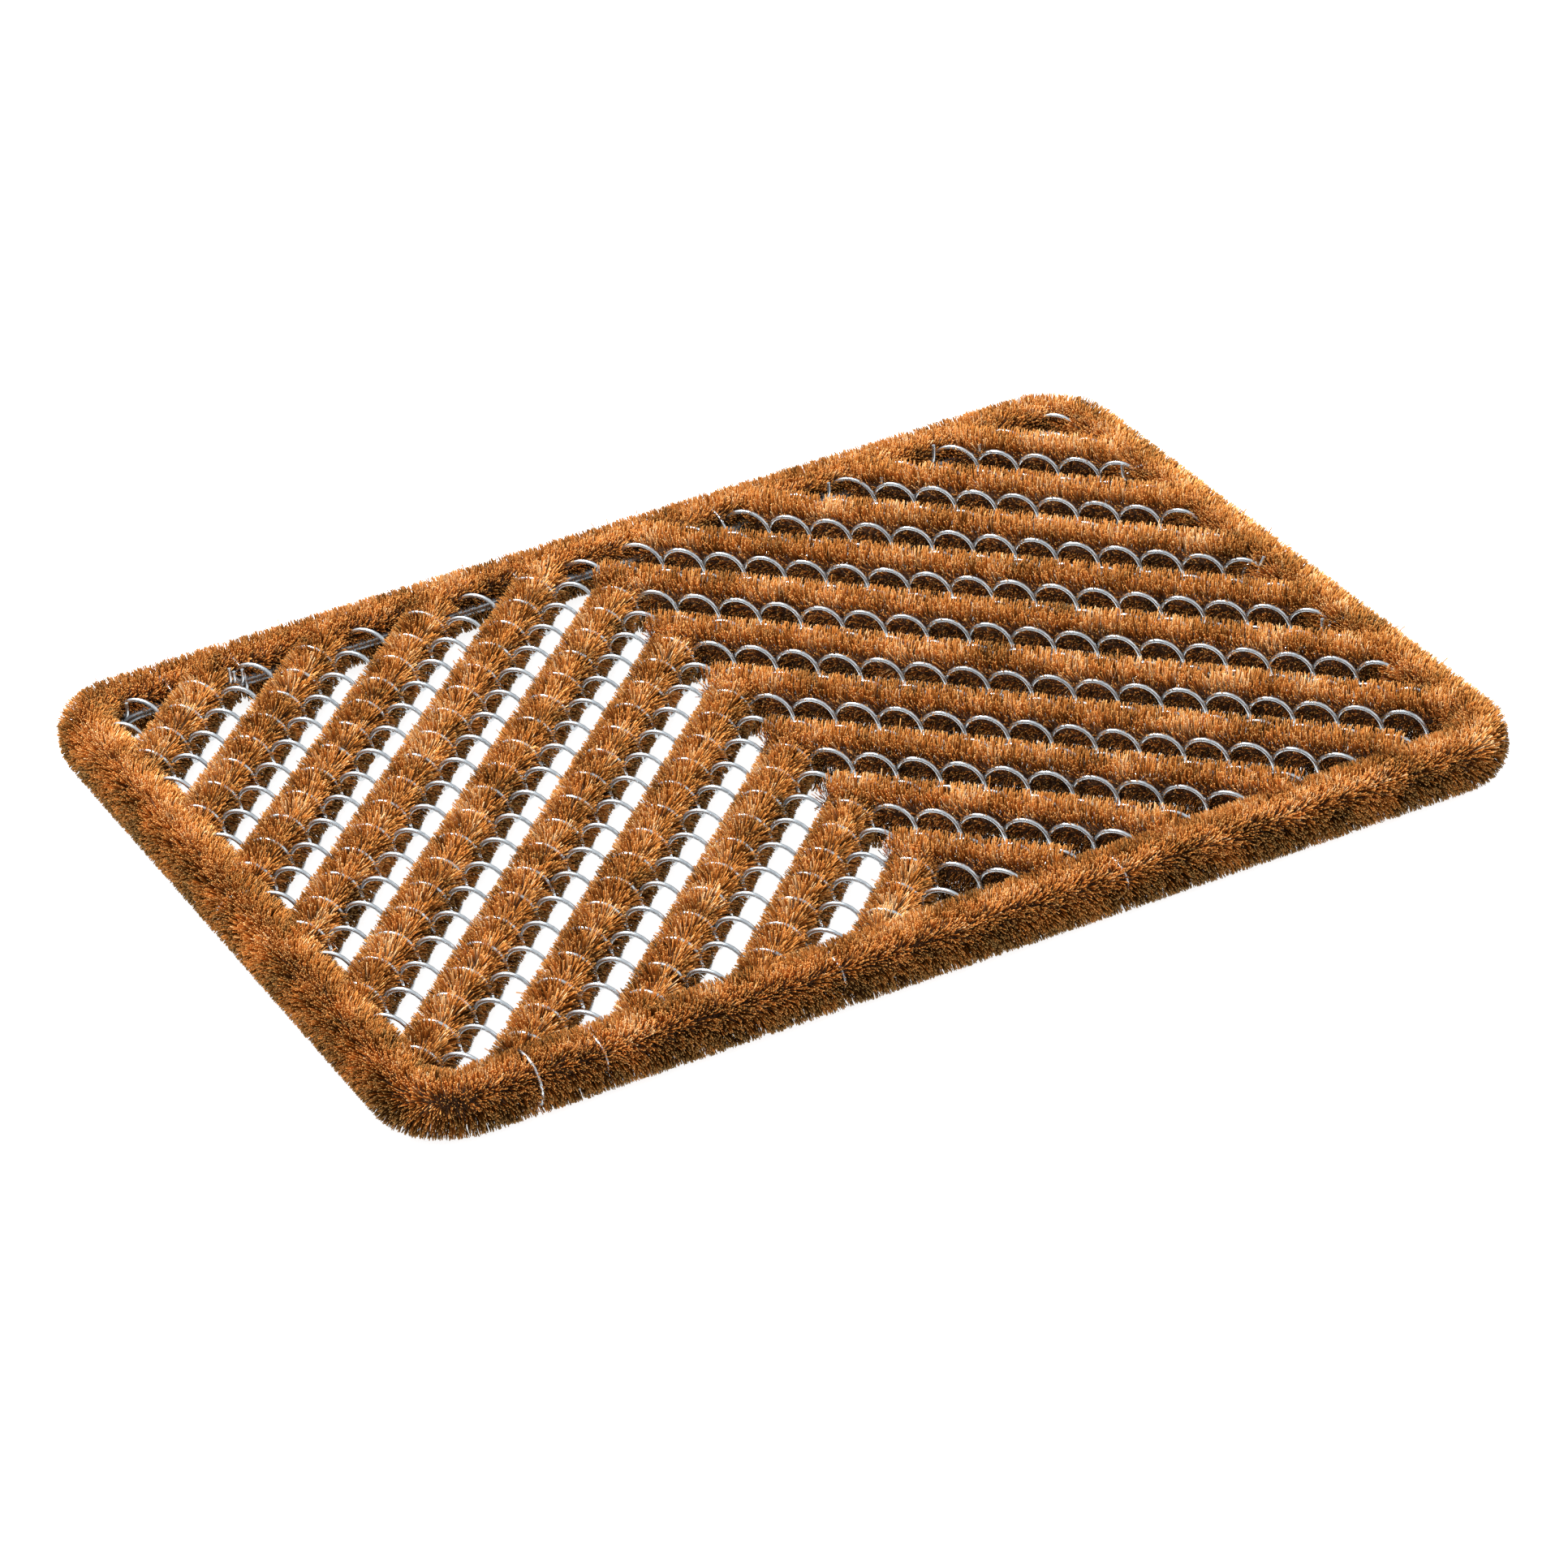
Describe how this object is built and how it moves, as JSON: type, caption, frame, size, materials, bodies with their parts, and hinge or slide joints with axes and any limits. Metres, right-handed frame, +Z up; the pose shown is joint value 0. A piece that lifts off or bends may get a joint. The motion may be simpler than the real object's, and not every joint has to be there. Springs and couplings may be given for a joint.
{
  "type": "door mat",
  "caption": "Rectangular scraper door mat: coir brush strips in a chevron through a field of linked galvanised wire coils, with a thick coir brush border.",
  "frame": {"origin": "centre of the mat's underside, on the ground", "axes": "+X along the mat's length, +Y across it towards the edge that the chevron's points face, +Z up"},
  "size_m": [0.604, 0.446, 0.028],
  "materials": {
    "border_coir": "coir bristle, orange-brown, matt, trimmed",
    "strip_coir": "coir bristle, orange-brown, matt, trimmed",
    "frame_rod": "galvanised round rod, bright",
    "coil_wire": "galvanised wire, satin grey",
    "tie_wire": "galvanised binding wire, bright"
  },
  "bodies": {
    "root": {"border_brush": "border_coir", "coir_strip_left_01": "strip_coir", "coir_strip_left_02": "strip_coir", "coir_strip_left_03": "strip_coir", "coir_strip_left_04": "strip_coir", "coir_strip_left_05": "strip_coir", "coir_strip_left_06": "strip_coir", "coir_strip_left_07": "strip_coir", "coir_strip_left_08": "strip_coir", "coir_strip_left_09": "strip_coir", "coir_strip_left_10": "strip_coir", "coir_strip_right_01": "strip_coir", "coir_strip_right_02": "strip_coir", "coir_strip_right_03": "strip_coir", "coir_strip_right_04": "strip_coir", "coir_strip_right_05": "strip_coir", "coir_strip_right_06": "strip_coir", "coir_strip_right_07": "strip_coir", "coir_strip_right_08": "strip_coir", "coir_strip_right_09": "strip_coir", "coir_strip_right_10": "strip_coir", "frame_rod": "frame_rod", "wire_coil_01": "coil_wire", "wire_coil_02": "coil_wire", "wire_coil_03": "coil_wire", "wire_coil_04": "coil_wire", "wire_coil_05": "coil_wire", "wire_coil_06": "coil_wire", "wire_coil_07": "coil_wire", "wire_coil_08": "coil_wire", "wire_coil_09": "coil_wire", "wire_coil_10": "coil_wire", "wire_coil_11": "coil_wire", "wire_coil_12": "coil_wire", "wire_coil_13": "coil_wire", "wire_coil_14": "coil_wire", "wire_coil_15": "coil_wire", "wire_coil_16": "coil_wire", "wire_coil_17": "coil_wire", "wire_coil_18": "coil_wire", "wire_coil_19": "coil_wire", "wire_coil_20": "coil_wire", "wire_coil_21": "coil_wire", "wire_coil_22": "coil_wire", "wire_coil_23": "coil_wire", "wire_coil_24": "coil_wire", "wire_coil_25": "coil_wire", "tie_wire_01": "tie_wire", "tie_wire_02": "tie_wire", "tie_wire_03": "tie_wire", "tie_wire_04": "tie_wire", "tie_wire_05": "tie_wire", "tie_wire_06": "tie_wire", "tie_wire_07": "tie_wire", "tie_wire_08": "tie_wire", "tie_wire_09": "tie_wire", "tie_wire_10": "tie_wire", "tie_wire_11": "tie_wire", "tie_wire_12": "tie_wire", "tie_wire_13": "tie_wire"}
  },
  "joints": []
}
